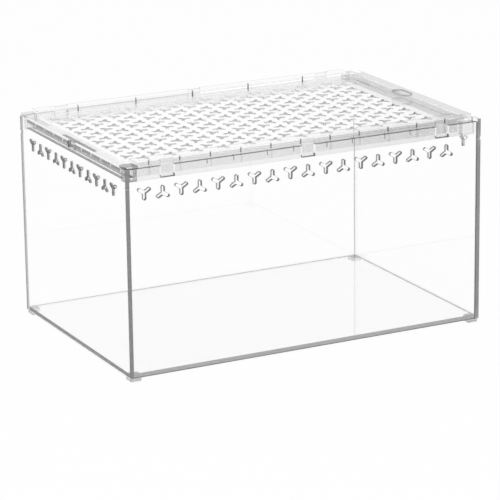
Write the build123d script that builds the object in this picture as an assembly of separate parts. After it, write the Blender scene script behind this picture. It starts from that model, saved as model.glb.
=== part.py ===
from build123d import *
import math
import os

# A clear spider enclosure: a bonded tank of flat sheets on four feet, a drop-in lid frame held by
# spring clips, and a perforated top panel that slides out of the frame to the right.
# Millimetres, Z up, X along the length, Y along the depth with the front at -Y.
# The origin is the centre of the footprint, on the surface that the feet stand on.

# Tank
tank_length = 300.0
tank_depth = 196.0
front_wall_height = 158.5
right_wall_height = 160.7
wall_thickness = 3.0
floor_thickness = 3.0
foot_height = 3.0
foot_side = 9.0
foot_inset = 0.5
foot_edge_radius = 1.0
foot_underside_radius = 0.8
edge_notch_height = 2.5
edge_notch_depth = 1.0
edge_notch_level = 144.0

# Three-armed vent slots
vent_arm = 4.5
vent_width = 2.8
vent_pitch = 15.0
vent_floor = 134.3
vent_left_margin = 15.0
vent_right_margin = 22.5
vent_side_margin = 20.0

# Lid frame
lid_gap = 0.3
skirt_thickness = 2.0
skirt_depth = 9.8
rail_top = 163.0
rail_plate = 1.6
rail_reach = 15.7
rail_lip = 2.0
rail_lip_gap = 0.2
rail_edge_chamfer = 0.5
rail_left_inset = 10.2
rail_right_inset = 15.0
inner_skirt_offset = 11.0
rib_pitch = 25.0
rib_thickness = 1.5
rib_floor = 151.0
inner_skirt_drop = 1.0
end_rail_top = 157.6
end_rail_plate = 3.0
end_skirt_floor = 150.0
end_rib_pitch = 17.5
end_grip_length = 65.0
end_grip_width = 4.6
end_grip_depth = 1.2
corner_block_reach = 7.0
left_block_top = 160.7
right_block_reach = 5.7
right_block_top = 158.3
corner_radius = 2.5

# Sliding panel and its pull
panel_thickness = 2.0
panel_top = 159.2
panel_side_gap = 0.3
panel_face_gap = 0.3
groove_lip = 1.5
shelf_reach = 9.7
pull_thickness = 4.0
pull_inner_reach = 23.0
pull_outer_end = 2.6
pull_side_inset = 9.5
pull_gap = 0.3
pull_edge_radius = 1.0
thumb_length = 22.0
thumb_width = 11.0
thumb_depth = 1.4
panel_arm = 4.1
panel_slot_width = 2.6
column_pitch = 21.85
column_offset = 10.0
row_pitch = 16.7
first_column = 6.5
last_column = 9.0
row_margin = 11.4
wall_cut_gap = 0.6

# Spring clips
clip_width = 10.6
clip_gap = 0.3
clip_thickness = 1.8
clip_barrel_radius = 1.2
clip_axis_depth = 1.5
clip_drop = 11.5
clip_axis_below_top = 1.5
clip_foot = 1.0
clip_foot_radius = 0.9
clip_end_inset = 34.0
end_clip_top = 160.5
end_clip_drop = 5.6

# How far a cutting shape passes the face it cuts through
cut_margin = 1.0

# Values that follow from the sizes above
half_length = tank_length / 2
half_depth = tank_depth / 2
tank_floor = foot_height
inner_half_length = half_length - wall_thickness
inner_half_depth = half_depth - wall_thickness
frame_half_length = inner_half_length - lid_gap
frame_half_depth = inner_half_depth - lid_gap
front_wall_top = tank_floor + front_wall_height
right_wall_top = tank_floor + right_wall_height
rail_top_z = tank_floor + rail_top
rail_under_z = rail_top_z - rail_plate
skirt_bottom_z = front_wall_top - skirt_depth
panel_top_z = tank_floor + panel_top
panel_under_z = panel_top_z - panel_thickness
end_rail_top_z = tank_floor + end_rail_top
end_skirt_floor_z = tank_floor + end_skirt_floor
end_clip_top_z = tank_floor + end_clip_top
left_block_top_z = tank_floor + left_block_top
right_block_top_z = tank_floor + right_block_top
rib_floor_z = tank_floor + rib_floor
inner_skirt_bottom_z = rib_floor_z - inner_skirt_drop
rail_left = -half_length + rail_left_inset
rail_right = half_length - rail_right_inset
rail_middle = (rail_left + rail_right) / 2
rail_inner_y = half_depth - rail_reach
inner_skirt_y = half_depth - inner_skirt_offset
groove_y = inner_skirt_y - skirt_thickness
groove_under_z = panel_under_z - panel_face_gap
panel_half_depth = groove_y - panel_side_gap
panel_left = rail_left + panel_side_gap
pull_right = half_length - pull_outer_end
pull_left = half_length - pull_inner_reach
panel_right = pull_right - pull_gap
pull_half_depth = half_depth - pull_side_inset
pull_neck_half_depth = rail_inner_y - pull_gap - panel_side_gap
wall_cut_half_depth = pull_half_depth + wall_cut_gap
wall_cut_z = panel_under_z - wall_cut_gap
notch_half_width = clip_width / 2 + clip_gap


def box(x, y, z):
    """A box from three pairs of limits."""
    size = [high - low for low, high in (x, y, z)]
    middle = [(high + low) / 2 for low, high in (x, y, z)]
    return Pos(*middle) * Box(*size)


def span(middle, half):
    """The pair of limits that lie half to each side of a middle."""
    return (middle - half, middle + half)


def steps(first, last, pitch):
    """Evenly spaced positions from first, none past last."""
    count = int(math.floor((last - first) / pitch + 1e-6)) + 1
    return [first + pitch * index for index in range(count)]


def centred_steps(reach, pitch):
    """Evenly spaced positions about zero, none past reach."""
    side = int(math.floor(reach / pitch + 1e-6))
    return [pitch * index for index in range(-side, side + 1)]


def trefoil(arm, width, turn):
    """A flat slot of three round-ended arms, with its first arm at the angle turn."""
    sketch = Sketch()
    for index in range(3):
        slot = Pos(arm / 2, 0) * SlotCenterToCenter(arm, width)
        sketch += Rot(0, 0, turn + 120 * index) * slot
    return sketch


def mirrored(shape):
    """The same shape on the other side of the enclosure, front to back."""
    return mirror(shape, about=Plane.XZ)


# Tank walls. The front and back walls stand between the side walls, and only the back one has no vents.
def vent_height(upright):
    """An upright slot and an upside-down one reach the same two levels."""
    long_end = vent_arm + vent_width / 2
    short_end = vent_arm / 2 + vent_width / 2
    return tank_floor + vent_floor + (long_end if upright else short_end)


def vent_cutters(positions):
    """Slots in the XZ plane, upright and upside-down by turns, deep enough for any wall."""
    cutters = []
    for index, position in enumerate(positions):
        upright = index % 2 == 0
        outline = trefoil(vent_arm, vent_width, -90 if upright else 90)
        plane = Plane(origin=(position, 0, vent_height(upright)), x_dir=(1, 0, 0), z_dir=(0, -1, 0))
        cutters.append(extrude(plane * outline, wall_thickness * 2, both=True))
    return cutters


def clip_places():
    """Where the clips sit along the front and the back."""
    reach = half_length - clip_end_inset
    return {"left": -reach, "middle": 0.0, "right": reach}


def plain_front_wall():
    """The sheet with its clip notches and no vents, as the back wall has it."""
    wall = box(span(0, inner_half_length), (-half_depth, -inner_half_depth), (tank_floor, front_wall_top))
    cutters = []
    notch_floor = rail_top_z - clip_axis_below_top - clip_drop - clip_gap
    for place in clip_places().values():
        notch = box(span(place, notch_half_width), span(-half_depth, wall_thickness * 2),
                    (notch_floor, front_wall_top + cut_margin))
        cutters.append(notch)
    return wall - cutters


def front_wall():
    places = steps(-half_length + vent_left_margin, half_length - vent_right_margin, vent_pitch)
    return plain_front_wall() - [Pos(0, -half_depth, 0) * cutter for cutter in vent_cutters(places)]


def side_wall(side):
    """Side is -1 for the left wall and 1 for the right one, which stands a little higher."""
    x = sorted((side * half_length, side * inner_half_length))
    top = front_wall_top if side < 0 else right_wall_top
    wall = box(x, span(0, half_depth), (tank_floor, top))
    places = centred_steps(half_depth - vent_side_margin, vent_pitch)
    cutters = [Pos(side * half_length, 0, 0) * Rot(0, 0, 90) * cutter for cutter in vent_cutters(places)]
    level = tank_floor + edge_notch_level
    for end in (-1, 1):
        y = sorted((end * half_depth, end * (half_depth - edge_notch_depth)))
        cutters.append(box(x, y, (level, level + edge_notch_height)))
    if side < 0:
        notch_floor = end_clip_top_z - clip_axis_below_top - end_clip_drop - clip_gap
        cutters.append(box(x, span(0, notch_half_width), (notch_floor, top + cut_margin)))
    else:
        cutters.append(box(x, span(0, wall_cut_half_depth), (wall_cut_z, top + cut_margin)))
    return wall - cutters


def floor_panel():
    return box(span(0, inner_half_length), span(0, inner_half_depth), (tank_floor, tank_floor + floor_thickness))


def foot(side, end):
    middle_x = side * (half_length - foot_inset - foot_side / 2)
    middle_y = end * (half_depth - foot_inset - foot_side / 2)
    pad = box(span(middle_x, foot_side / 2), span(middle_y, foot_side / 2), (0, foot_height))
    pad = fillet(pad.edges().filter_by(Axis.Z), foot_edge_radius)
    return fillet(pad.faces().sort_by(Axis.Z)[0].edges(), foot_underside_radius)


# Lid frame. Two ribbed rails run along the front and back, and carry the panel in their grooves.
def front_rail():
    x = (rail_left, rail_right)
    y = -half_depth
    rail = box(x, (y, y + rail_reach), (rail_under_z, rail_top_z))
    rail += box(x, (y, y + rail_lip), (front_wall_top + rail_lip_gap, rail_under_z))
    skirt_y = -frame_half_depth
    rail += box(x, (skirt_y, skirt_y + skirt_thickness), (skirt_bottom_z, rail_under_z))
    rail += box(x, (-inner_skirt_y, -groove_y), (inner_skirt_bottom_z, rail_under_z))
    rail += box(x, (-groove_y, -rail_inner_y), (panel_top_z + panel_face_gap, rail_under_z))
    rail += box(x, (-groove_y, -rail_inner_y), (groove_under_z - groove_lip, groove_under_z))
    reach = (rail_right - rail_left) / 2 - rib_thickness
    for place in centred_steps(reach, rib_pitch):
        rail += box(span(rail_middle + place, rib_thickness / 2), (skirt_y + skirt_thickness, -inner_skirt_y),
                    (rib_floor_z, rail_under_z))
    top_edge = rail.edges().filter_by(Axis.X).sort_by(Axis.Z)[-2:].sort_by(Axis.Y)[0]
    rail = chamfer(top_edge, rail_edge_chamfer)
    recess_depth = clip_axis_depth + clip_barrel_radius + clip_gap
    for place in clip_places().values():
        rail -= box(span(place, notch_half_width), (y - cut_margin, y + recess_depth),
                    (front_wall_top - cut_margin, rail_top_z + cut_margin))
    return rail


def left_end_rail():
    y = span(0, frame_half_depth - corner_block_reach)
    x = -frame_half_length
    under = end_rail_top_z - end_rail_plate
    rail = box((x, rail_left), y, (under, end_rail_top_z))
    rail += box((x, x + skirt_thickness), y, (end_skirt_floor_z, under))
    rail += box((rail_left - skirt_thickness, rail_left), y, (inner_skirt_bottom_z, under))
    for place in centred_steps(y[1] - end_rib_pitch / 2, end_rib_pitch):
        rail += box((x + skirt_thickness, rail_left - skirt_thickness), span(place, rib_thickness / 2),
                    (rib_floor_z, under))
    grip = SlotOverall(end_grip_length, end_grip_width, rotation=90)
    middle = (x + rail_left) / 2
    rail -= Pos(middle, 0, end_rail_top_z - end_grip_depth) * extrude(grip, end_grip_depth + cut_margin)
    clip_lug = box((x, x + skirt_thickness), span(0, notch_half_width), (under, end_clip_top_z))
    return rail + clip_lug


def right_end_rail():
    y = span(0, frame_half_depth - right_block_reach)
    x = frame_half_length
    rail = box((x - skirt_thickness, x), y, (skirt_bottom_z, groove_under_z))
    rail += box((x - shelf_reach, x), y, (groove_under_z - groove_lip, groove_under_z))
    return rail


def round_corner(block, x, y):
    """The block with the upright edge that is nearest to a point made round."""
    edge = min(block.edges().filter_by(Axis.Z), key=lambda item: math.hypot(item.center().X - x, item.center().Y - y))
    return fillet(edge, corner_radius)


def corner_block(side, end):
    """The block that joins a rail to an end rail, with a cap over the tank's corner on the left."""
    reach = corner_block_reach if side < 0 else right_block_reach
    top = left_block_top_z if side < 0 else right_block_top_z
    inner_x = rail_left if side < 0 else rail_right
    inner_y = end * (frame_half_depth - reach)
    block = box(sorted((side * frame_half_length, inner_x)), sorted((end * frame_half_depth, inner_y)),
                (skirt_bottom_z, top))
    block = round_corner(block, side * frame_half_length, end * frame_half_depth)
    if side > 0:
        return block
    cap = box((-half_length, inner_x), sorted((end * half_depth, inner_y)), (front_wall_top + rail_lip_gap, top))
    return block + round_corner(cap, -half_length, end * half_depth)


# Sliding panel, with its slots turned left and right by columns, and the pull bonded on its right end
def panel_slots():
    """Rows half a pitch apart, with the slots of odd rows in one column and of even rows in its neighbour."""
    slots = []
    half_pitch = row_pitch / 2
    last_row = math.floor(2 * (groove_y - row_margin) / half_pitch)
    for left in steps(panel_left + first_column, pull_left - last_column - column_offset, column_pitch):
        for index in range(last_row + 1):
            row = half_pitch * (index - last_row / 2)
            if index % 2:
                slots.append(Pos(left, row) * trefoil(panel_arm, panel_slot_width, 0))
            else:
                slots.append(Pos(left + column_offset, row) * trefoil(panel_arm, panel_slot_width, 180))
    return slots


def sliding_panel():
    plate = Rectangle(panel_right - panel_left, panel_half_depth * 2)
    sheet = Pos((panel_left + panel_right) / 2, 0) * plate
    sheet = sheet - panel_slots()
    return Pos(0, 0, panel_under_z) * extrude(sheet, panel_thickness)


def panel_pull():
    z = (panel_top_z, panel_top_z + pull_thickness)
    pull = box((rail_right + pull_gap, pull_right), span(0, pull_half_depth), z)
    pull += box((pull_left, rail_right + pull_gap), span(0, pull_neck_half_depth), z)
    pull = fillet(pull.faces().sort_by(Axis.Z)[-1].edges(), pull_edge_radius)
    oval = SlotOverall(thumb_length, thumb_width, rotation=90)
    middle = (pull_left + pull_right) / 2
    return pull - Pos(middle, 0, z[1] - thumb_depth) * extrude(oval, thumb_depth + cut_margin)


# Spring clips. Each hangs from a barrel at its top, in a recess of the rail and a notch of the wall.
def clip(drop):
    """A clip that faces the front, with its barrel's axis on the X axis."""
    half = clip_width / 2
    barrel = Rot(0, 90, 0) * Cylinder(clip_barrel_radius, clip_width)
    half_thickness = clip_thickness / 2
    body = barrel + box((-half, half), (-half_thickness, half_thickness), (-drop, 0))
    lip = box((-half, half), (-clip_axis_depth, half_thickness), (-drop, -drop + clip_foot))
    lower = (body + lip).edges().filter_by(Axis.Y).sort_by(Axis.Z)[:2]
    return fillet(lower, clip_foot_radius)


def front_clip(place):
    return Pos(place, -half_depth + clip_axis_depth, rail_top_z - clip_axis_below_top) * clip(clip_drop)


def left_clip():
    turned = Rot(0, 0, -90) * clip(end_clip_drop)
    return Pos(-half_length + clip_axis_depth, 0, end_clip_top_z - clip_axis_below_top) * turned


def build():
    nodes = {}
    nodes["floor_panel"] = floor_panel()
    nodes["front_wall"] = front_wall()
    nodes["back_wall"] = mirrored(plain_front_wall())
    nodes["left_wall"] = side_wall(-1)
    nodes["right_wall"] = side_wall(1)
    nodes["front_rail"] = front_rail()
    nodes["back_rail"] = mirrored(nodes["front_rail"])
    nodes["left_end_rail"] = left_end_rail()
    nodes["right_end_rail"] = right_end_rail()
    for end, depth_name in ((-1, "front"), (1, "back")):
        for side, length_name in ((-1, "left"), (1, "right")):
            nodes["foot_%s_%s" % (depth_name, length_name)] = foot(side, end)
            nodes["corner_block_%s_%s" % (depth_name, length_name)] = corner_block(side, end)
    nodes["sliding_panel"] = sliding_panel()
    nodes["panel_pull"] = panel_pull()
    for name, place in clip_places().items():
        nodes["clip_front_%s" % name] = front_clip(place)
        nodes["clip_back_%s" % name] = mirrored(nodes["clip_front_%s" % name])
    nodes["clip_left_end"] = left_clip()
    return nodes


os.makedirs("parts", exist_ok=True)
for node_name, shape in build().items():
    solids = shape.solids()
    export_step(solids[0] if len(solids) == 1 else Compound(solids), "parts/%s.step" % node_name)
    print("%-26s %d solid, %.1f mm3" % (node_name, len(solids), shape.volume))
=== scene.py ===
# %% [markdown]
# A clear spider enclosure stands in a white studio. Its tank is bonded from flat acrylic sheets, its
# lid frame and clips are moulded, and a perforated panel slides out of the frame.
# All of it could be built again here from boxes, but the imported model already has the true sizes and
# the joints. So that comes in first and stays where it is. Every piece that is added later is placed
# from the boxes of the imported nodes, and nothing has to be fitted by eye.

# %% Load the frame
import math
import bpy
from mathutils import Matrix, Vector


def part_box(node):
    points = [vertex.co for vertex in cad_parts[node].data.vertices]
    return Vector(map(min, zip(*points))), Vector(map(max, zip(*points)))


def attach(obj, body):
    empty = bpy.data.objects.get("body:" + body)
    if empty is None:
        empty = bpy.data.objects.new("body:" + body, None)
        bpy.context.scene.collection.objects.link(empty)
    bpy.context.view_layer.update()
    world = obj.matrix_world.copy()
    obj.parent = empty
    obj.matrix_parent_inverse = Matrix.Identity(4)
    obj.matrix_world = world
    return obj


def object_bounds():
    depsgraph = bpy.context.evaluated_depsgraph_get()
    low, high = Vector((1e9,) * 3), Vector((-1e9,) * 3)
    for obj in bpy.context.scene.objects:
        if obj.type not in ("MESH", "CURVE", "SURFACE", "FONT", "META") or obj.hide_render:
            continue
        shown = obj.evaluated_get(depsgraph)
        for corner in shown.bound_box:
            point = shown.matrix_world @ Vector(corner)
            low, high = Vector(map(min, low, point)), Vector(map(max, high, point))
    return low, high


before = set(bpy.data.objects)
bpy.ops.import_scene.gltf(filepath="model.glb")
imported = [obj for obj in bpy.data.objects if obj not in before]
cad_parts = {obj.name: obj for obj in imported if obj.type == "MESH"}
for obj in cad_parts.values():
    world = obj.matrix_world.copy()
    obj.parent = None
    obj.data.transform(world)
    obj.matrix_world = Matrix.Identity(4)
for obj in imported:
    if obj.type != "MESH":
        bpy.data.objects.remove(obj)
cad_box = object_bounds()
scene = bpy.context.scene

# %% [markdown]
# The photograph was taken with a long lens from the left of the front, looking slightly down. A camera
# could be moved about until the picture looks right. Here the box's upright edges and rows of vents
# fixed where it stood, so it is written as a place, a turn, a dip and a roll. The lens follows from
# the focal length in pixels.

# %% Place the camera
IMAGE_PIXELS = 500
FOCAL_PIXELS = 2759.1
SENSOR_MM = 36.0
CAMERA_REACH = 20
CAMERA_PLACE = Vector((-0.9424, -1.8496, 0.6668))
CAMERA_TURN = 0.4712
CAMERA_DIP = 0.2865
CAMERA_ROLL = -0.0127


def camera_axes(turn, dip, roll):
    """The camera's right, up and backward directions."""
    ahead = Vector((math.sin(turn) * math.cos(dip), math.cos(turn) * math.cos(dip), -math.sin(dip)))
    right = Vector((math.cos(turn), -math.sin(turn), 0))
    up = right.cross(ahead)
    rolled_right = right * math.cos(roll) + up * math.sin(roll)
    rolled_up = up * math.cos(roll) - right * math.sin(roll)
    return rolled_right, rolled_up, -ahead


camera_data = bpy.data.cameras.new("studio_camera")
camera_data.sensor_width = SENSOR_MM
camera_data.lens = FOCAL_PIXELS * SENSOR_MM / IMAGE_PIXELS
camera_data.clip_end = CAMERA_REACH
camera = bpy.data.objects.new("studio_camera", camera_data)
scene.collection.objects.link(camera)
axes = camera_axes(CAMERA_TURN, CAMERA_DIP, CAMERA_ROLL)
turned = Matrix([list(axis) for axis in axes]).transposed().to_4x4()
camera.matrix_world = Matrix.Translation(CAMERA_PLACE) @ turned
scene.camera = camera
print("lens", round(camera_data.lens, 1))

# %% [markdown]
# Light crosses up to a dozen sheets on its way through the tank, and each sheet takes two bounces.
# With Blender's usual path length the pieces at the back would turn black, so the paths are longer.

# %% Let light cross many sheets
PATH_LENGTH = 32
scene.cycles.max_bounces = PATH_LENGTH
scene.cycles.transmission_bounces = PATH_LENGTH
scene.cycles.transparent_max_bounces = PATH_LENGTH
print("bounces", scene.cycles.max_bounces)

# %% [markdown]
# Every finish below is a small tree of nodes. Each could be drawn by hand in the shader editor, but
# the same few joins come back all the time, so they are short functions here. The first ones start a
# material, do a sum and blend two numbers.

# %% Helpers that join nodes
def start_material(name):
    """A new material with its tree and its main shader."""
    material = bpy.data.materials.new(name)
    material.use_nodes = True
    tree = material.node_tree
    return material, tree, tree.nodes["Principled BSDF"]


def link(tree, source, target):
    tree.links.new(source, target)


def grey(value):
    return (value, value, value, 1)


def math_node(tree, operation, first, second=None):
    """A sum of one or two values, each a number or a socket."""
    node = tree.nodes.new("ShaderNodeMath")
    node.operation = operation
    for socket, value in zip(node.inputs, (first, second)):
        if isinstance(value, (int, float)):
            socket.default_value = value
        elif value is not None:
            link(tree, value, socket)
    return node.outputs[0]


def blend_values(tree, factor, low, high):
    """A number that goes from low to high as the factor goes from nought to one."""
    node = tree.nodes.new("ShaderNodeMapRange")
    link(tree, factor, node.inputs["Value"])
    node.inputs["To Min"].default_value = low
    node.inputs["To Max"].default_value = high
    return node.outputs["Result"]


print("helpers for joining nodes are ready")

# %% [markdown]
# Plastic that looks even is never quite even: its grey and its gloss change a little from place to
# place. A picture of a surface could give that, but it would need a map. A noise node in the piece's
# own coordinates needs none, and a mix node lays one grey over another by it.

# %% Helpers that mix greys
COLOUR_A = 6
COLOUR_B = 7
COLOUR_RESULT = 2


def mix_colours(tree, factor, first, second, way="MIX"):
    """A mix of two colours, each a grey value or a socket."""
    node = tree.nodes.new("ShaderNodeMix")
    node.data_type = "RGBA"
    node.blend_type = way
    link(tree, factor, node.inputs["Factor"])
    for index, colour in ((COLOUR_A, first), (COLOUR_B, second)):
        if isinstance(colour, float):
            node.inputs[index].default_value = grey(colour)
        else:
            link(tree, colour, node.inputs[index])
    return node.outputs[COLOUR_RESULT]


def mix_shaders(tree, factor, first, second):
    """Puts a mix of two shaders on the surface."""
    mix = tree.nodes.new("ShaderNodeMixShader")
    link(tree, factor, mix.inputs[0])
    link(tree, first.outputs[0], mix.inputs[1])
    link(tree, second.outputs[0], mix.inputs[2])
    link(tree, mix.outputs[0], tree.nodes["Material Output"].inputs["Surface"])


def noise(tree, scale, stretch=(1, 1, 1), detail=2.0):
    """A grain that is fixed to the piece's own coordinates."""
    place = tree.nodes.new("ShaderNodeTexCoord")
    mapping = tree.nodes.new("ShaderNodeMapping")
    mapping.inputs["Scale"].default_value = stretch
    link(tree, place.outputs["Object"], mapping.inputs["Vector"])
    texture = tree.nodes.new("ShaderNodeTexNoise")
    texture.inputs["Scale"].default_value = scale
    texture.inputs["Detail"].default_value = detail
    link(tree, mapping.outputs["Vector"], texture.inputs["Vector"])
    return texture.outputs["Fac"]


print("helpers for mixing greys are ready")

# %% [markdown]
# Clear plastic shows in a picture mostly by its tones: a sawn edge is grey, a skirt is slightly grey, a
# line runs where two pieces meet. Apart from the satin of the sawn edges, these tones come from light,
# so here they are painted shade and painted light. Such tones could be painted on an image, but an
# image needs a map of every face. A mask made from the piece's own coordinates stays sharp at any
# size, so each tone here is a mask that is one in some place, or where the surface faces some way.

# %% Helpers that pick out a place
FACING = 0.9


def parts_of(tree, output):
    """The three numbers of a texture coordinate."""
    place = tree.nodes.new("ShaderNodeTexCoord")
    parts = tree.nodes.new("ShaderNodeSeparateXYZ")
    link(tree, place.outputs[output], parts.inputs[0])
    return parts.outputs


def edge_mask(tree, axis):
    """One where the surface doesn't face along the sheet's thickness."""
    along = math_node(tree, "ABSOLUTE", parts_of(tree, "Normal")[axis])
    return math_node(tree, "LESS_THAN", along, FACING)


def within(tree, value, low, high):
    """One where a value lies between two limits."""
    return math_node(tree, "MULTIPLY", math_node(tree, "GREATER_THAN", value, low),
                     math_node(tree, "LESS_THAN", value, high))


def in_box(tree, place, limits):
    """One where the place lies between the limits of each axis that is named."""
    mask = 1.0
    for axis, (low, high) in limits.items():
        mask = math_node(tree, "MULTIPLY", within(tree, place[axis], low, high), mask)
    return mask


def darken(tree, shade, mask, value):
    """The shade times a grey value wherever the mask is one."""
    return mix_colours(tree, mask, shade, value, "MULTIPLY")


print("helpers for picking out a place are ready")

# %% [markdown]
# In the photograph the panel and the front rail look slightly greyer towards their right end, where
# less light reaches them. The lamp could be moved for that, but then every other tone would move with
# it. A slow fade along the lid's length paints that shade on these two pieces only.

# %% Painted shade along the lid
FADE_LEFT = -0.02
FADE_RIGHT = 0.13


def painted_shade_fade(tree):
    """Nought at the left part of the lid and one at its right end, where the painted shade is full."""
    node = tree.nodes.new("ShaderNodeMapRange")
    link(tree, parts_of(tree, "Object")[0], node.inputs["Value"])
    node.inputs["From Min"].default_value = FADE_LEFT
    node.inputs["From Max"].default_value = FADE_RIGHT
    return node.outputs["Result"]


print("the lid fades from", FADE_LEFT, "to", FADE_RIGHT)

# %% [markdown]
# Glass-like plastic throws a black shadow in a renderer, unless light is traced through each bend of
# it, which takes very long. Real acrylic throws a faint one. So rays that go to a lamp, or that light
# the floor, cross the plastic straight with a slight tint, and the rays that are seen still bend.
# The plastic also takes up a little light on the way, which shows as the grey of a long path.

# %% Light through the plastic
SHEET_GREY = (0.62, 0.64, 0.65)
SHEET_ABSORPTION = 1.5
SHADOW_TINT = 0.97


def absorb(tree, colour, density):
    node = tree.nodes.new("ShaderNodeVolumeAbsorption")
    node.inputs["Color"].default_value = (*colour, 1)
    node.inputs["Density"].default_value = density
    link(tree, node.outputs["Volume"], tree.nodes["Material Output"].inputs["Volume"])


def let_lamps_through(tree, shader, tint):
    """Lamp and floor light crosses the plastic straight, so that its shadow is faint."""
    rays = tree.nodes.new("ShaderNodeLightPath")
    either = math_node(tree, "MAXIMUM", rays.outputs["Is Shadow Ray"], rays.outputs["Is Diffuse Ray"])
    clear = tree.nodes.new("ShaderNodeBsdfTransparent")
    clear.inputs["Color"].default_value = grey(tint)
    mix_shaders(tree, either, shader, clear)


print("absorption", SHEET_ABSORPTION)

# %% [markdown]
# Acrylic sheet is polished on its broad faces and satin on its sawn edges and slots, so its edges show
# as soft grey strips. Two materials could be set face by face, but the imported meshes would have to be
# sorted for that. One material does both: it looks at which way the surface faces in the piece's own
# coordinates, and takes the edge finish wherever that isn't across the sheet.
# Sheet also carries light along to its rim, which then looks lit from inside. A weak glow stands for
# that, because a true one would need far more rays.

# %% Clear sheet with satin edges
ACRYLIC_IOR = 1.49
EDGE_GRAIN = 600.0
EDGE_ROUGH = 0.35
RIM_PAINTED_LIGHT = 0.97
RIM_GLOW = 0.25
RIM_CLEAR = 0.1


def sheet_plastic(name, axis, edge_grey, edge_clear=0.35, face_grey=1.0, special=None, light_areas=(),
                  right_painted_shade=1.0, spread=0.15):
    """Special is (axis, sign, grey) for one edge: painted shade where that grey is darker than the edge
    grey, painted light where it is lighter. Edges in the light areas get painted light: nearly white,
    with a weak glow.
    """
    material, tree, shader = start_material(name)
    mask = edge_mask(tree, axis)
    grain = noise(tree, EDGE_GRAIN)
    edge = mix_colours(tree, grain, edge_grey * (1 - spread), edge_grey * (1 + spread))
    # A special edge gets its own grey: painted shade where it is darker, painted light where it is
    # lighter.
    if special is not None:
        facing = math_node(tree, "MULTIPLY", parts_of(tree, "Normal")[special[0]], special[1])
        there = math_node(tree, "GREATER_THAN", facing, FACING)
        edge = darken(tree, edge, there, special[2] / edge_grey)
    clear = blend_values(tree, mask, 1.0, edge_clear)
    # Edges in the light areas get a near-white painted light and a weak glow.
    if light_areas:
        place = parts_of(tree, "Object")
        light = 0.0
        for limits in light_areas:
            light = math_node(tree, "MAXIMUM", in_box(tree, place, limits), light)
        edge = darken(tree, edge, light, RIM_PAINTED_LIGHT / edge_grey)
        rim = math_node(tree, "MULTIPLY", light, mask)
        clear = math_node(tree, "MULTIPLY", clear, blend_values(tree, rim, 1, RIM_CLEAR))
        link(tree, math_node(tree, "MULTIPLY", rim, RIM_GLOW), shader.inputs["Emission Strength"])
    # Towards the lid's right end the broad faces get painted shade.
    face = mix_colours(tree, painted_shade_fade(tree), face_grey, face_grey * right_painted_shade)
    link(tree, mix_colours(tree, mask, face, edge), shader.inputs["Base Color"])
    link(tree, clear, shader.inputs["Transmission Weight"])
    link(tree, blend_values(tree, mask, 0.0, EDGE_ROUGH), shader.inputs["Roughness"])
    shader.inputs["IOR"].default_value = ACRYLIC_IOR
    absorb(tree, SHEET_GREY, SHEET_ABSORPTION)
    let_lamps_through(tree, shader, SHADOW_TINT)
    return material


print("edge grain", EDGE_GRAIN)

# %% [markdown]
# The feet are small clear pads under the corners, and they look slightly milky. A plain grey gloss
# would do from afar. Here most of the light goes through and the rest scatters, and the gloss drifts a
# little, as it does on moulded pieces.

# %% Milky pad
PAD_FLOW = 60.0
PAD_FLOW_DETAIL = 3.0
PAD_UNEVEN = 0.95
PAD_ROUGH = (0.06, 0.14)
PAD_ABSORPTION = 1.0


def milky_pad(name, shade, milk):
    material, tree, shader = start_material(name)
    flow = noise(tree, PAD_FLOW, detail=PAD_FLOW_DETAIL)
    link(tree, mix_colours(tree, flow, shade * PAD_UNEVEN, shade), shader.inputs["Base Color"])
    shader.inputs["Transmission Weight"].default_value = 1.0 - milk
    link(tree, blend_values(tree, flow, *PAD_ROUGH), shader.inputs["Roughness"])
    shader.inputs["IOR"].default_value = ACRYLIC_IOR
    absorb(tree, SHEET_GREY, PAD_ABSORPTION)
    let_lamps_through(tree, shader, SHADOW_TINT)
    return material


print("pad roughness", PAD_ROUGH)

# %% [markdown]
# The pieces of the lid frame, its clips and the pull touch or nearly touch, and on the real lid they
# all look clear. As separate solids of glass they would trap the light at every joint and turn black.
# So they take a thin-walled finish: light crosses each
# wall straight with a light grey tint, and a gloss that grows at low angles is added on top. Layer
# Weight makes that gloss, because the Fresnel node treats a back face as if seen from inside glass.

# %% Thin-walled clear plastic
FLOW_GRAIN = 25.0
FLOW_STRETCH = (8, 1, 1)
MOULD_ROUGH = 0.04
UPWARD = 0.5
STEEP = 0.3
GLOSS_BEND = 0.5
GLOSS_POWER = 5.0
GLOSS_RANGE = (0.04, 0.7)


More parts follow.
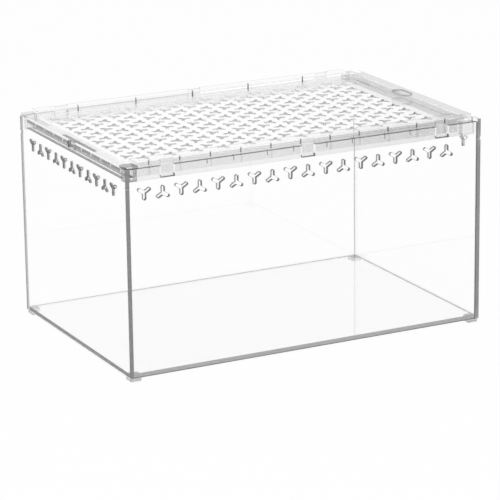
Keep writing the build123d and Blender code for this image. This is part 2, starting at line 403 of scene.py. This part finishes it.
def thin_plastic(name, tint, bands=(), edges=None, top_painted_shade=None, right_painted_shade=None, spread=0.012,
                 steep_band=None):
    """Bands are ({axis: (low, high)}, grey), each a painted shade. The steep band is one for upright
    faces only, also painted shade. Edges are (axis, grey), a painted shade for the faces that look
    another way than along that axis. The top grey is painted shade on faces that look up, and the right
    grey is painted shade that grows towards the lid's right end. The tint is the plastic's own grey,
    and on the corner blocks also painted shade."""
    material, tree, shader = start_material(name)
    flow = noise(tree, FLOW_GRAIN, stretch=FLOW_STRETCH)
    shade = mix_colours(tree, flow, tint * (1 - spread), min(1.0, tint * (1 + spread)))
    place = parts_of(tree, "Object")
    # The bands, the edges, the top and the steep band darken the grey with painted shade.
    for limits, value in bands:
        shade = darken(tree, shade, in_box(tree, place, limits), value)
    if edges is not None:
        shade = darken(tree, shade, edge_mask(tree, edges[0]), edges[1])
    if top_painted_shade is not None:
        top = math_node(tree, "GREATER_THAN", parts_of(tree, "Normal")[2], UPWARD)
        shade = darken(tree, shade, top, top_painted_shade)
    if steep_band is not None:
        upright = within(tree, parts_of(tree, "Normal")[2], -STEEP, STEEP)
        inside = math_node(tree, "MULTIPLY", upright, in_box(tree, place, steep_band[0]))
        shade = darken(tree, shade, inside, steep_band[1])
    # Painted shade that grows towards the lid's right end.
    if right_painted_shade is not None:
        shade = darken(tree, shade, painted_shade_fade(tree), right_painted_shade)
    clear = tree.nodes.new("ShaderNodeBsdfTransparent")
    link(tree, shade, clear.inputs["Color"])
    shader.inputs["Base Color"].default_value = grey(1)
    shader.inputs["Metallic"].default_value = 1.0
    shader.inputs["Roughness"].default_value = MOULD_ROUGH
    slant = tree.nodes.new("ShaderNodeLayerWeight")
    slant.inputs["Blend"].default_value = GLOSS_BEND
    gloss = math_node(tree, "POWER", slant.outputs["Facing"], GLOSS_POWER)
    mix_shaders(tree, blend_values(tree, gloss, *GLOSS_RANGE), clear, shader)
    return material


print("gloss from", *GLOSS_RANGE)

# %% [markdown]
# In the photograph each sheet's edges have their own grey: the back wall's are pale, those of the front
# and the left wall are dark, and the front wall's top edge is nearly black. The satin of the sawn edges
# is real, but these differences between sheets of one acrylic are painted shade and painted light. One
# grey for all would lose that, so each wall gets its own value. The top edges of the back and side
# walls get a near-white painted light. Some edges are kept light with painted light and a weak glow,
# because they are light in the photograph: the rim of the panel, the rear vents of the right wall, the
# upper part of the back wall's right edge, and the sides of the front notches above their lowest 2 mm.
# The photograph has only one side, so from elsewhere these look less even than real plastic.

# %% Finish, painted shade and painted light of the sheets
X, Y, Z = 0, 1, 2
PANEL_RIM = 0.002
VENTS_BEHIND_LID = -0.07
NOTCH_REACH = 0.14
NOTCH_SIDES_LOW = 0.1548
BACK_EDGE_LOW = 0.1227
ANYWHERE = 1
WALL_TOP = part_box("front_wall")[1][Z]
panel_low, panel_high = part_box("sliding_panel")


def give(material, *names):
    for name in names:
        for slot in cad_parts[name].material_slots:
            slot.material = material
    print(material.name, *names)


# Places whose edges get painted light: the panel's rim, the right wall's rear vents, the sides of the
# front notches and the back wall's upper right edge.
panel_rims = [{side: limits} for side in (X, Y)
              for limits in ((-ANYWHERE, panel_low[side] + PANEL_RIM),
                             (panel_high[side] - PANEL_RIM, ANYWHERE))]
rear_vents = [{Y: (VENTS_BEHIND_LID, ANYWHERE)}]
front_notches = [{X: (-NOTCH_REACH, NOTCH_REACH), Z: (NOTCH_SIDES_LOW, WALL_TOP - 0.0001)}]
upper_right = [{X: (0, ANYWHERE), Z: (BACK_EDGE_LOW, ANYWHERE)}]
painted_light_top = (Z, 1, 0.95)
# The front wall's top edge gets a nearly black painted shade, and the sides of its notches get painted
# light.
give(sheet_plastic("clear_sheet_front", Y, 0.17, 0.12, special=(Z, 1, 0.04),
                   light_areas=front_notches), "front_wall")
give(sheet_plastic("clear_sheet_back", Y, 0.7, special=painted_light_top, light_areas=upper_right), "back_wall")
give(sheet_plastic("clear_sheet_left", X, 0.25, 0.05, special=painted_light_top, spread=0.4), "left_wall")
give(sheet_plastic("clear_sheet_right", X, 0.36, 0.25, special=painted_light_top, light_areas=rear_vents),
     "right_wall")
# The floor's edges that face the front get a lighter grey than its other edges: painted light.
give(sheet_plastic("clear_sheet_floor", Z, 0.30, face_grey=0.955, special=(Y, -1, 0.6)), "floor_panel")
# The panel's rim gets painted light, and its faces get painted shade towards the right end.
give(sheet_plastic("clear_panel", Z, 0.75, 0.8, light_areas=panel_rims, right_painted_shade=0.95),
     "sliding_panel")

# %% [markdown]
# The part of each rail that hangs inside the tank looks slightly greyer, and thin dark lines mark the
# wall's top edge, the rail's top and the foot of the left end rail. The photograph doesn't tell
# whether the lines are grooves or only bent light, and either way their darkness is shade. Grooves
# would be a guess in the shape, so the greyer skirt and each line are a band of painted shade, given
# by its height. The corner blocks and the sides of the front rail get painted shade as well.

# %% Finish and painted shade of the lid frame
rail_low, rail_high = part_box("front_rail")
end_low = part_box("left_end_rail")[0]
OUTER_SKIN = (rail_low[Y] - 0.001, rail_low[Y] + 0.0004)
# Bands of painted shade: the skirt, the line at the wall's top edge, the rail's top line and the left
# end's foot.
SKIRT = ({Z: (0.0, WALL_TOP)}, 0.955)
WALL_LINE = ({Z: (WALL_TOP - 0.0004, WALL_TOP + 0.0004), Y: OUTER_SKIN}, 0.45)
RAIL_LINE = ({Z: (rail_high[Z] - 0.0006, rail_high[Z] - 0.00005)}, 0.8)
END_FOOT = ({Z: (0.0, end_low[Z] + 0.0009)}, 0.15)
give(thin_plastic("clear_back_rail", 0.995, [SKIRT, RAIL_LINE]), "back_rail")
# The front rail gets a slight painted shade on its sides and more towards its right end.
give(thin_plastic("clear_front_rail", 0.995, [SKIRT, WALL_LINE, RAIL_LINE], edges=(Z, 0.98),
                  right_painted_shade=0.94), "front_rail")
give(thin_plastic("clear_right_end", 0.99), "right_end_rail")
give(thin_plastic("clear_left_end", 0.99, [SKIRT, END_FOOT]), "left_end_rail")
# The corner blocks are one moulding: their greys and darker sides are painted shade, darkest at the
# front left.
give(thin_plastic("clear_block", 0.98, [SKIRT], edges=(Y, 0.95)), "corner_block_back_right")
give(thin_plastic("block_painted_shade", 0.95, [SKIRT], edges=(Y, 0.85)), "corner_block_back_left",
     "corner_block_front_right")
give(thin_plastic("block_dark_painted_shade", 0.93, [SKIRT], edges=(Y, 0.5)), "corner_block_front_left")

# %% [markdown]
# The pull is a thicker bar that is bonded to the panel's end. It looks grey from above and has an oval
# hollow for the thumb, whose steep side shows as a thin dark ring. The hollow is real in the packed
# mesh. The grey of the top, the darker sides and the ring are painted shade; the ring is a band that
# counts for upright faces only. The clips get a slight painted shade on their sides.

# %% Finish and painted shade of the pull, the clips and the pads
THUMB_HALF_WIDTH = 0.0056
THUMB_HALF_LENGTH = 0.0111
pull_low, pull_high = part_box("panel_pull")
pull_middle = (pull_low[X] + pull_high[X]) / 2
THUMB = {X: (pull_middle - THUMB_HALF_WIDTH, pull_middle + THUMB_HALF_WIDTH),
         Y: (-THUMB_HALF_LENGTH, THUMB_HALF_LENGTH)}
node_names = list(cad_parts)
end_clip = "clip_left_end"
side_clips = [name for name in node_names if name.startswith("clip_") and name != end_clip]
give(thin_plastic("clear_pull", 0.99, edges=(Z, 0.93), top_painted_shade=0.83, spread=0.03,
                  steep_band=(THUMB, 0.55)), "panel_pull")
give(milky_pad("clear_pad", 0.7, 0.35), *[name for name in node_names if name.startswith("foot_")])
# The sides of the clips get a slight painted shade.
give(thin_plastic("clear_clip", 0.99, edges=(Y, 0.93)), *side_clips)
give(thin_plastic("clear_end_clip", 0.99, edges=(X, 0.93)), end_clip)

# %% [markdown]
# The frame has an upright ridge at each rib and pads along its left end, and the grip has a row of
# small ribs. They could be placed one by one, but rows of equal pieces are what Geometry Nodes are
# for: one tree makes a line of points, puts a bar or a copy of an object on each point, and turns the
# result into real mesh. The count, the place, the step and the size are its inputs.

# %% A tree that lays a row
def add_input(tree, name, kind, value=None):
    socket = tree.interface.new_socket(name, in_out="INPUT", socket_type=kind)
    if value is not None:
        socket.default_value = value
    return socket.identifier


def row_tree(name, with_object):
    """A row of bars of one size, or of copies of one object."""
    tree = bpy.data.node_groups.new(name, "GeometryNodeTree")
    tree.interface.new_socket("Geometry", in_out="OUTPUT", socket_type="NodeSocketGeometry")
    sockets = {
        "Count": add_input(tree, "Count", "NodeSocketInt", 2),
        "First": add_input(tree, "First", "NodeSocketVector", (0, 0, 0)),
        "Step": add_input(tree, "Step", "NodeSocketVector", (0.025, 0, 0)),
        "Finish": add_input(tree, "Finish", "NodeSocketMaterial"),
    }
    if with_object:
        sockets["Shape"] = add_input(tree, "Shape", "NodeSocketObject")
    else:
        sockets["Bar"] = add_input(tree, "Bar", "NodeSocketVector", (0.001, 0.001, 0.001))
    source = tree.nodes.new("NodeGroupInput")
    line = tree.nodes.new("GeometryNodeMeshLine")
    place = tree.nodes.new("GeometryNodeInstanceOnPoints")
    real = tree.nodes.new("GeometryNodeRealizeInstances")
    paint = tree.nodes.new("GeometryNodeSetMaterial")
    result = tree.nodes.new("NodeGroupOutput")
    if with_object:
        shape = tree.nodes.new("GeometryNodeObjectInfo")
        link(tree, source.outputs["Shape"], shape.inputs["Object"])
        made = shape.outputs["Geometry"]
    else:
        shape = tree.nodes.new("GeometryNodeMeshCube")
        link(tree, source.outputs["Bar"], shape.inputs["Size"])
        made = shape.outputs["Mesh"]
    link(tree, source.outputs["Count"], line.inputs["Count"])
    link(tree, source.outputs["First"], line.inputs["Start Location"])
    link(tree, source.outputs["Step"], line.inputs["Offset"])
    link(tree, line.outputs["Mesh"], place.inputs["Points"])
    link(tree, made, place.inputs["Instance"])
    link(tree, place.outputs["Instances"], real.inputs["Geometry"])
    link(tree, real.outputs["Geometry"], paint.inputs["Geometry"])
    link(tree, source.outputs["Finish"], paint.inputs["Material"])
    link(tree, paint.outputs["Geometry"], result.inputs["Geometry"])
    return tree, sockets


bar_row = row_tree("row_of_bars", False)
copy_row = row_tree("row_of_copies", True)
print("trees", bar_row[0].name, copy_row[0].name)

# %% [markdown]
# A tree only shows its result while it sits on an object as a modifier. The other programs need plain
# mesh. So a tree grows on an empty object first, and the mesh that comes out is copied onto a new one.

# %% Turn a tree into plain mesh
def grown(name, row_kind, values):
    """The plain mesh that a tree makes from these values."""
    tree, sockets = row_kind
    seed = bpy.data.objects.new(name + "_seed", bpy.data.meshes.new(name + "_seed"))
    scene.collection.objects.link(seed)
    modifier = seed.modifiers.new("grow", "NODES")
    modifier.node_group = tree
    for key, value in values.items():
        modifier[sockets[key]] = value
    result = seed.evaluated_get(bpy.context.evaluated_depsgraph_get())
    mesh = bpy.data.meshes.new_from_object(result)
    bpy.data.objects.remove(seed)
    mesh.name = name
    piece = bpy.data.objects.new(name, mesh)
    scene.collection.objects.link(piece)
    return piece


print("rows can be grown")

# %% [markdown]
# The ridges, pads and lips show in the photograph as grey strokes. They are less than a millimetre
# thick here, so what counts is their grey. The bars are taken to be real, but their grey is painted
# shade, as the plastic itself is clear. A flat dark colour would look painted on. One satin finish does
# for all: part of the light goes through, and the rest scatters on a fine grain.

# %% Satin plastic with painted shade
SATIN_GRAIN = 1500.0
SATIN_SPREAD = 0.15
SATIN_ROUGH = (0.32, 0.48)
SATIN_SHADOW = 0.9


def satin_plastic(name, shade, clear):
    material, tree, shader = start_material(name)
    grain = noise(tree, SATIN_GRAIN)
    colour = mix_colours(tree, grain, shade * (1 - SATIN_SPREAD), shade * (1 + SATIN_SPREAD))
    link(tree, colour, shader.inputs["Base Color"])
    shader.inputs["Transmission Weight"].default_value = clear
    link(tree, blend_values(tree, grain, *SATIN_ROUGH), shader.inputs["Roughness"])
    shader.inputs["IOR"].default_value = ACRYLIC_IOR
    let_lamps_through(tree, shader, SATIN_SHADOW)
    return material


# The vent lips get a mid grey painted shade.
lip_painted_shade = satin_plastic("lip_satin", 0.45, 0.4)
print("finish", lip_painted_shade.name)

# %% [markdown]
# Every vent of the front wall is a slot with three round-ended arms. The slots are cut in the packed
# wall, and the photograph shows a thin grey outline round each. A Bevel modifier would round all the
# other edges of the wall as well. So a thin frame is made that lines one slot, point by point. The
# frame's grey is painted shade.

# %% Outline of a vent
VENT_ARM = 0.0045
VENT_WIDTH = 0.0028
UPRIGHT_TURN, UPTURNED_TURN = -90, 90
ARMS = 3
ARM_STEP = 120
ROUND_PARTS = 8
LIP_GAP = 0.00003
LIP_WIDE = 0.0002
LIP_DEEP = 0.00025


def trefoil_outline(inset, turn):
    """The outline of a three-armed vent, made smaller by an inset."""
    half = VENT_WIDTH / 2 - inset
    half_step = math.radians(ARM_STEP / 2)
    corner = half / math.sin(half_step)
    points = []
    for index in range(ARMS):
        angle = math.radians(turn + ARM_STEP * index)
        before = angle - half_step
        points.append((corner * math.cos(before), corner * math.sin(before)))
        for part in range(ROUND_PARTS + 1):
            swing = angle - math.pi / 2 + math.pi * part / ROUND_PARTS
            points.append((VENT_ARM * math.cos(angle) + half * math.cos(swing),
                           VENT_ARM * math.sin(angle) + half * math.sin(swing)))
    return points


def vent_lip(name, turn):
    """A thin frame that lines a vent at the outer face."""
    rings = [(trefoil_outline(inset, turn), y) for y in (0.0, LIP_DEEP)
             for inset in (LIP_GAP, LIP_GAP + LIP_WIDE)]
    verts = [(x, y, z) for ring, y in rings for x, z in ring]
    count = len(rings[0][0])
    faces = []
    for first, second in ((0, 1), (1, 3), (3, 2), (2, 0)):
        for index in range(count):
            following = (index + 1) % count
            faces.append((first * count + index, first * count + following,
                          second * count + following, second * count + index))
    mesh = bpy.data.meshes.new(name)
    mesh.from_pydata(verts, [], faces)
    return bpy.data.objects.new(name, mesh)


print("outline points", len(trefoil_outline(LIP_GAP, UPRIGHT_TURN)))

# %% [markdown]
# The wall has eighteen vents, turned up and down by turns. Each frame could be placed by hand, but they
# stand at even steps. So the tree copies one frame into the nine upright vents, and then another into
# the nine between them that stand on their heads.

# %% Lips of the front vents
VENT_PITCH = 0.015
VENT_LEFT = 0.015
VENTS_OF_A_KIND = 9
VENT_HEIGHTS = {UPRIGHT_TURN: 0.1432, UPTURNED_TURN: 0.14095}
wall_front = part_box("front_wall")[0][Y]
for label, turn, first in (("upright", UPRIGHT_TURN, 0), ("upturned", UPTURNED_TURN, 1)):
    lip = vent_lip(label + "_lip", turn)
    x = cad_box[0][X] + VENT_LEFT + first * VENT_PITCH
    start = (x, wall_front + LIP_GAP, VENT_HEIGHTS[turn])
    piece = grown(f"vent_lips_{label}", copy_row,
                  {"Count": VENTS_OF_A_KIND, "First": start, "Step": (2 * VENT_PITCH, 0, 0),
                   "Shape": lip, "Finish": lip_painted_shade})
    bpy.data.objects.remove(lip)
    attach(piece, "tank")
    print(piece.name, len(piece.data.polygons), "faces")

# %% [markdown]
# A moulded bar never has a knife edge. Small bevels could be modelled into the bars, but the Bevel
# modifier rounds every bar of a row at once, and its width is one number.

# %% Lay a row on the lid frame
FINE_ROUND = 0.00005


def row(name, count, first, step, bar, finish, body="lid_frame", rounding=FINE_ROUND):
    """A row of bars that rides on one body."""
    piece = grown(name, bar_row,
                  {"Count": count, "First": first, "Step": step, "Bar": bar, "Finish": finish})
    bevel = piece.modifiers.new("round_edges", "BEVEL")
    bevel.width = rounding
    bevel.segments = 2
    bevel.limit_method = "ANGLE"
    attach(piece, body)
    print(name, count, "bars")


print("rounding", FINE_ROUND)

# %% [markdown]
# Inside the rail there is a rib every 25 mm, and at each of them the photograph shows a short dark
# stroke. It is taken to be an upright ridge behind the rail's lip. A dark line could be painted there,
# but a line is flat, and a ridge shows from all sides. So each is a thin bar in line with its rib, and
# the bar's dark grey is painted shade.

# %% Ridges on the front rail
RIB_PITCH = 0.025
RIB_HALF = 0.00075
RIDGE_COUNT = 11
RIDGE_THICK = 0.0002
RIDGE_DEEP = 0.002
RAIL_LIP = 0.002
MOULD_GAP = 0.00005
RIDGE_FOOT_GAP = 0.0002
RIDGE_TOP_GAP = 0.0004
block_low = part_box("corner_block_front_right")[0]
rail_middle = (rail_low[X] + rail_high[X]) / 2
ridge_low, ridge_high = WALL_TOP + RIDGE_FOOT_GAP, rail_high[Z] - RIDGE_TOP_GAP
ridge_x = rail_middle - RIB_HALF - MOULD_GAP - RIDGE_THICK / 2
ridge_y = block_low[Y] + RAIL_LIP + MOULD_GAP + RIDGE_DEEP / 2
row("front_rib_ridges", RIDGE_COUNT, (ridge_x - 5 * RIB_PITCH, ridge_y, (ridge_low + ridge_high) / 2),
    (RIB_PITCH, 0, 0), (RIDGE_THICK, RIDGE_DEEP, ridge_high - ridge_low),
    satin_plastic("ridge_satin", 0.2, 0.4))

# %% [markdown]
# Below the wall's top edge there are more such strokes, by turns 22 and 28 mm apart. One row can't have
# two steps, so two rows with a double step make them. On the back rail every second rib shows a longer
# and darker stroke, so that rail has a row and a nearly black painted shade of its own. The grey of all
# these thin bars is painted shade.

# %% Ridges on the skirts
SKIRT_RIDGE_COUNT = 4
SKIRT_RIDGE_THICK = 0.0003
SKIRT_RIDGE_TALL = 0.0042
SKIRT_RIDGE_DOWN = 0.0024
SKIRT_ROWS = (("skirt_ribs_odd", -0.082), ("skirt_ribs_even", -0.060))
BACK_RIDGE_COUNT = 5
BACK_RIDGE_DOWN = 0.0026
# Painted shade of the skirt strokes, and the nearly black painted shade of the back rail's strokes.
skirt_ridge_painted_shade = satin_plastic("skirt_ridge_satin", 0.3, 0.4)
back_ridge_painted_shade = satin_plastic("back_ridge_satin", 0.08, 0.1)
for name, first in SKIRT_ROWS:
    row(name, SKIRT_RIDGE_COUNT, (first, ridge_y - RIDGE_DEEP / 4, WALL_TOP - SKIRT_RIDGE_DOWN),
        (2 * RIB_PITCH, 0, 0), (SKIRT_RIDGE_THICK, RIDGE_DEEP / 2, SKIRT_RIDGE_TALL), skirt_ridge_painted_shade)
back_ridge_low = WALL_TOP - BACK_RIDGE_DOWN
row("back_rib_ridges", BACK_RIDGE_COUNT,
    (ridge_x - 4 * RIB_PITCH, -ridge_y, (back_ridge_low + ridge_high) / 2), (2 * RIB_PITCH, 0, 0),
    (RIDGE_THICK, RIDGE_DEEP, ridge_high - back_ridge_low), back_ridge_painted_shade)

# %% [markdown]
# Along its left end the frame shows a broken dark line, with a gap at each rib. It is taken to be a row
# of long flat pads, one between every two ribs. They could be one strip with cuts, but a row keeps the
# gaps even. The clip sits in the middle, so the two pads beside it are shorter, in a row of their own.

# %% Pads along the left end
END_TOP = 0.1606
END_PITCH = 0.0175
PAD_LONG = 0.0156
PAD_TALL = 0.0024
PADS_A_SIDE = 4
PAD_ROWS = (("left_end_pads_front", -4.5), ("left_end_pads_back", 1.5))
SHORT_PAD_FAR = END_PITCH - 0.001
CLIP_ROOM = 0.0008
pad_x = end_low[X] - MOULD_GAP - RIDGE_THICK / 2
pad_z = END_TOP - PAD_TALL / 2
# The pads' nearly black grey is painted shade.
pad_painted_shade = satin_plastic("pad_satin", 0.09, 0.15)
for name, pitches in PAD_ROWS:
    row(name, PADS_A_SIDE, (pad_x, pitches * END_PITCH, pad_z), (0, END_PITCH, 0),
        (RIDGE_THICK, PAD_LONG, PAD_TALL), pad_painted_shade)
short_pad = SHORT_PAD_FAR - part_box("clip_left_end")[1][Y] - CLIP_ROOM
short_pad_y = SHORT_PAD_FAR - short_pad / 2
row("left_end_pads_by_clip", 2, (pad_x, -short_pad_y, pad_z), (0, 2 * short_pad_y, 0),
    (RIDGE_THICK, short_pad, PAD_TALL), pad_painted_shade)

# %% [markdown]
# The left end has a long hollow to lift the lid by, and its floor shows a row of small cross ribs.
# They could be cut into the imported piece, but they are less than a millimetre tall, so they are laid
# here in the same way as the ridges, with rounder edges.

# %% Grip ribs
GRIP_COUNT = 24
GRIP_FIRST = -0.0276
GRIP_PITCH = 0.0024
GRIP_DEEP = 0.0012
GRIP_RAISE = 0.0004
GRIP_BAR = (0.0038, 0.0009, 0.0008)
GRIP_ROUND = 0.0001
grip_x = (end_low[X] + rail_low[X]) / 2
# The ribs' mid grey is painted shade.
row("grip_ribs", GRIP_COUNT, (grip_x, GRIP_FIRST, END_TOP - GRIP_DEEP + GRIP_RAISE), (0, GRIP_PITCH, 0),
    GRIP_BAR, satin_plastic("grip_satin", 0.5, 0.5), rounding=GRIP_ROUND)

# %% [markdown]
# The object stands on plain white with hardly any shadow. A very bright lamp would make the floor
# white, but would wash out the greys of the plastic as well. So the floor is pale, and only rays
# that are seen, straight or through the plastic, find it nearly white. It still keeps a soft shadow.

# %% White floor
FLOOR_REACH = 4.0
FLOOR_DROP = 0.0002
FLOOR_GREY = 0.9
FLOOR_WHITE = 0.95


def seen(tree):
    """One for rays that come from the camera, straight, by gloss or through the plastic."""
    rays = tree.nodes.new("ShaderNodeLightPath")
    direct = math_node(tree, "MAXIMUM", rays.outputs["Is Camera Ray"], rays.outputs["Is Glossy Ray"])
    return math_node(tree, "MAXIMUM", direct, rays.outputs["Is Transmission Ray"])


def studio_floor():
    reach = FLOOR_REACH
    corners = [(-reach, -reach, 0), (reach, -reach, 0), (reach, reach, 0), (-reach, reach, 0)]
    mesh = bpy.data.meshes.new("studio_floor")
    mesh.from_pydata(corners, [], [(0, 1, 2, 3)])
    floor = bpy.data.objects.new("studio_floor", mesh)
    scene.collection.objects.link(floor)
    material, tree, shader = start_material("white_floor")
    shader.inputs["Base Color"].default_value = grey(FLOOR_GREY)
    shader.inputs["Roughness"].default_value = 1.0
    shader.inputs["Specular IOR Level"].default_value = 0.0
    white = tree.nodes.new("ShaderNodeEmission")
    mix_shaders(tree, math_node(tree, "MULTIPLY", seen(tree), FLOOR_WHITE), shader, white)
    mesh.materials.append(material)
    floor.location.z = -FLOOR_DROP


studio_floor()
print("floor", 2 * FLOOR_REACH, "m wide")

# %% [markdown]
# The studio's walls could be modelled and lit, but a plain white world does the same: seen rays find it
# white, and it lights the object a little less. One large lamp from the upper left makes the faint
# shadow and shapes the edges.

# %% Soft light
WORLD_LIGHT = 0.75
WORLD_WHITE = 1.0
LAMP_SIZE = 1.6
LAMP_WATTS = 14.0
LAMP_PLACE = (-0.9, -1.1, 1.7)
LAMP_AIM = Vector((0, 0, 0.08))
world = bpy.data.worlds.new("studio")
world.use_nodes = True
scene.world = world
background = world.node_tree.nodes["Background"]
background.inputs["Color"].default_value = grey(1)
strength = blend_values(world.node_tree, seen(world.node_tree), WORLD_LIGHT, WORLD_WHITE)
link(world.node_tree, strength, background.inputs["Strength"])
lamp_data = bpy.data.lights.new("soft_lamp", "AREA")
lamp_data.size = LAMP_SIZE
lamp_data.energy = LAMP_WATTS
lamp = bpy.data.objects.new("soft_lamp", lamp_data)
scene.collection.objects.link(lamp)
lamp.location = LAMP_PLACE
lamp.rotation_euler = (LAMP_AIM - lamp.location).to_track_quat("-Z", "Y").to_euler()
scene.view_settings.view_transform = "Standard"
print("lamp", LAMP_WATTS, "W,", LAMP_SIZE, "m wide")
